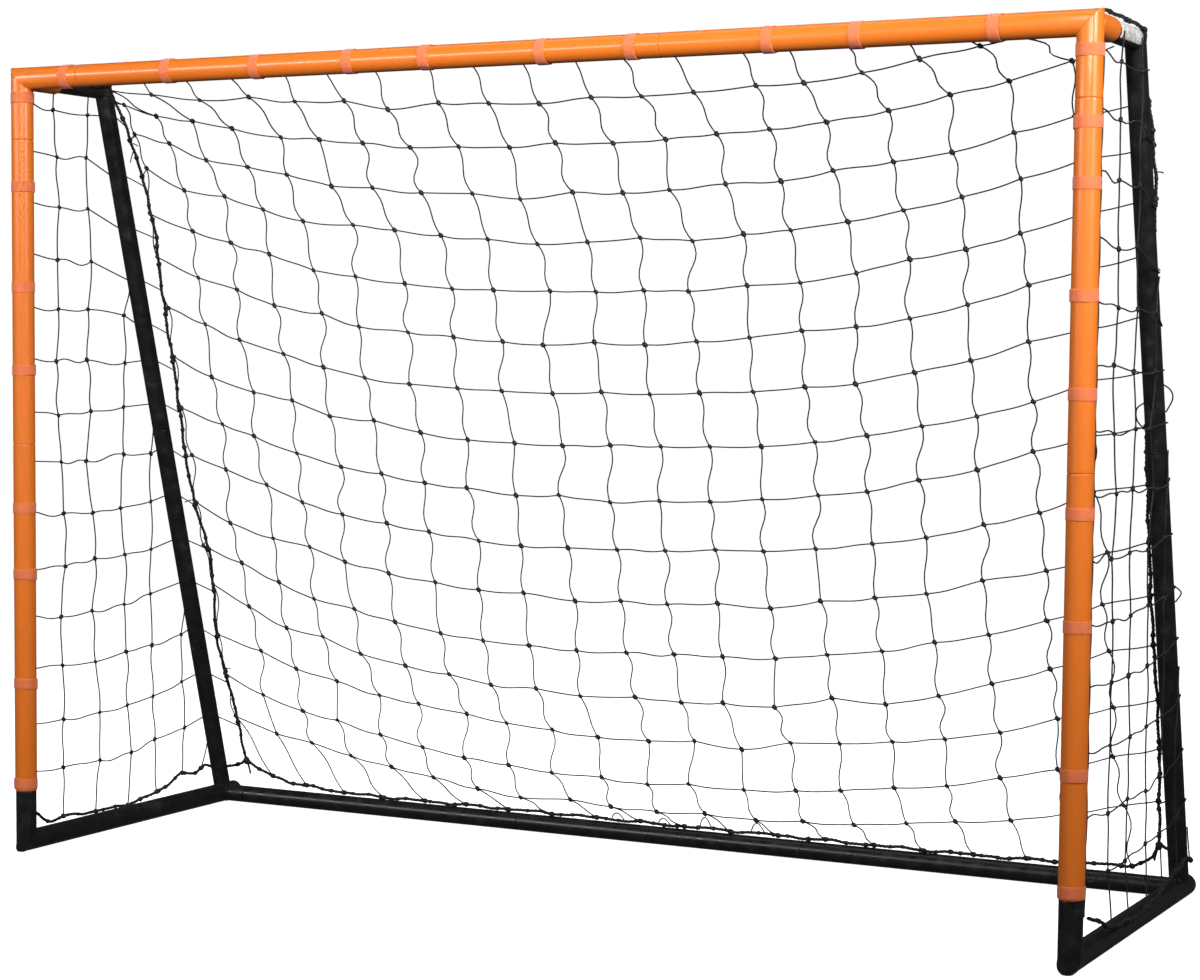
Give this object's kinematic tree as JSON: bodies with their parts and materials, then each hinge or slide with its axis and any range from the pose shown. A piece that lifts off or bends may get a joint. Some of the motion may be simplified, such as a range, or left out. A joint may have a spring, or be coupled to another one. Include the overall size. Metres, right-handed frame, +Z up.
{
  "type": "soccer goal frame",
  "caption": "Portable soccer goal: steel tube frame with slanted rear posts, push-in snap-button joints, and a square-mesh net held by hook-and-loop straps.",
  "frame": {"origin": "on the ground, under the middle of the whole goal", "axes": "+X along the crossbar to the viewer's right when looking into the goal, +Y from the mouth to the back, +Z up"},
  "size_m": [2.117, 0.741, 1.5085],
  "materials": {
    "orange_paint": "gloss orange powder coat",
    "black_paint": "semi-gloss black powder coat, lightly scuffed",
    "orange_webbing": "woven hook-and-loop webbing",
    "black_twine": "twisted polyethylene twine",
    "zinc_steel": "zinc plated",
    "black_plastic": "moulded"
  },
  "bodies": {
    "frame": {"base_plug_left": "black_plastic", "base_plug_right": "black_plastic", "crossbar_left": "orange_paint", "crossbar_middle": "orange_paint", "crossbar_right": "orange_paint", "net_back_panel": "black_twine", "net_border_rope": "black_twine", "net_side_panel_left": "black_twine", "net_side_panel_right": "black_twine", "post_lower_left": "orange_paint", "post_lower_right": "orange_paint", "post_upper_left": "orange_paint", "post_upper_right": "orange_paint", "rear_bar_left": "black_paint", "rear_bar_middle": "black_paint", "rear_bar_right": "black_paint", "rear_post_lower_left": "black_paint", "rear_post_lower_right": "black_paint", "rear_post_upper_left": "black_paint", "rear_post_upper_right": "black_paint", "side_base_left": "black_paint", "side_base_right": "black_paint", "strap_crossbar_1": "orange_webbing", "strap_crossbar_10": "orange_webbing", "strap_crossbar_2": "orange_webbing", "strap_crossbar_3": "orange_webbing", "strap_crossbar_4": "orange_webbing", "strap_crossbar_5": "orange_webbing", "strap_crossbar_6": "orange_webbing", "strap_crossbar_7": "orange_webbing", "strap_crossbar_8": "orange_webbing", "strap_crossbar_9": "orange_webbing", "strap_left_post_1": "orange_webbing", "strap_left_post_2": "orange_webbing", "strap_left_post_3": "orange_webbing", "strap_left_post_4": "orange_webbing", "strap_left_post_5": "orange_webbing", "strap_left_post_6": "orange_webbing", "strap_left_post_7": "orange_webbing", "strap_left_post_8": "orange_webbing", "strap_right_post_1": "orange_webbing", "strap_right_post_2": "orange_webbing", "strap_right_post_3": "orange_webbing", "strap_right_post_4": "orange_webbing", "strap_right_post_5": "orange_webbing", "strap_right_post_6": "orange_webbing", "strap_right_post_7": "orange_webbing", "strap_right_post_8": "orange_webbing", "strap_right_post_9": "orange_webbing", "top_corner_left": "orange_paint", "top_corner_right": "orange_paint"},
    "button_crossbar_left": {"snap_button_crossbar_left": "zinc_steel"},
    "button_crossbar_right": {"snap_button_crossbar_right": "zinc_steel"},
    "button_post_left": {"snap_button_post_left": "zinc_steel"},
    "button_post_right": {"snap_button_post_right": "zinc_steel"},
    "button_rear_bar_left": {"snap_button_rear_bar_left": "zinc_steel"},
    "button_rear_bar_right": {"snap_button_rear_bar_right": "zinc_steel"},
    "button_rear_post_left": {"snap_button_rear_post_left": "zinc_steel"},
    "button_rear_post_right": {"snap_button_rear_post_right": "zinc_steel"}
  },
  "joints": [
    {"name": "button_crossbar_left_press", "type": "slide", "parent": "frame", "child": "button_crossbar_left", "axis": [0, 1, 0], "range_m": [-0.006, 0], "stiffness_N_per_m": 1500},
    {"name": "button_crossbar_right_press", "type": "slide", "parent": "frame", "child": "button_crossbar_right", "axis": [0, 1, 0], "range_m": [-0.006, 0], "stiffness_N_per_m": 1500},
    {"name": "button_post_left_press", "type": "slide", "parent": "frame", "child": "button_post_left", "axis": [0, 1, 0], "range_m": [-0.006, 0], "stiffness_N_per_m": 1500},
    {"name": "button_post_right_press", "type": "slide", "parent": "frame", "child": "button_post_right", "axis": [0, 1, 0], "range_m": [-0.006, 0], "stiffness_N_per_m": 1500},
    {"name": "button_rear_bar_left_press", "type": "slide", "parent": "frame", "child": "button_rear_bar_left", "axis": [0, 1, 0], "range_m": [-0.006, 0], "stiffness_N_per_m": 1500},
    {"name": "button_rear_bar_right_press", "type": "slide", "parent": "frame", "child": "button_rear_bar_right", "axis": [0, 1, 0], "range_m": [-0.006, 0], "stiffness_N_per_m": 1500},
    {"name": "button_rear_post_left_press", "type": "slide", "parent": "frame", "child": "button_rear_post_left", "axis": [0, 0.961, 0.2765], "range_m": [-0.006, 0], "stiffness_N_per_m": 1500},
    {"name": "button_rear_post_right_press", "type": "slide", "parent": "frame", "child": "button_rear_post_right", "axis": [0, 0.961, 0.2765], "range_m": [-0.006, 0], "stiffness_N_per_m": 1500}
  ]
}
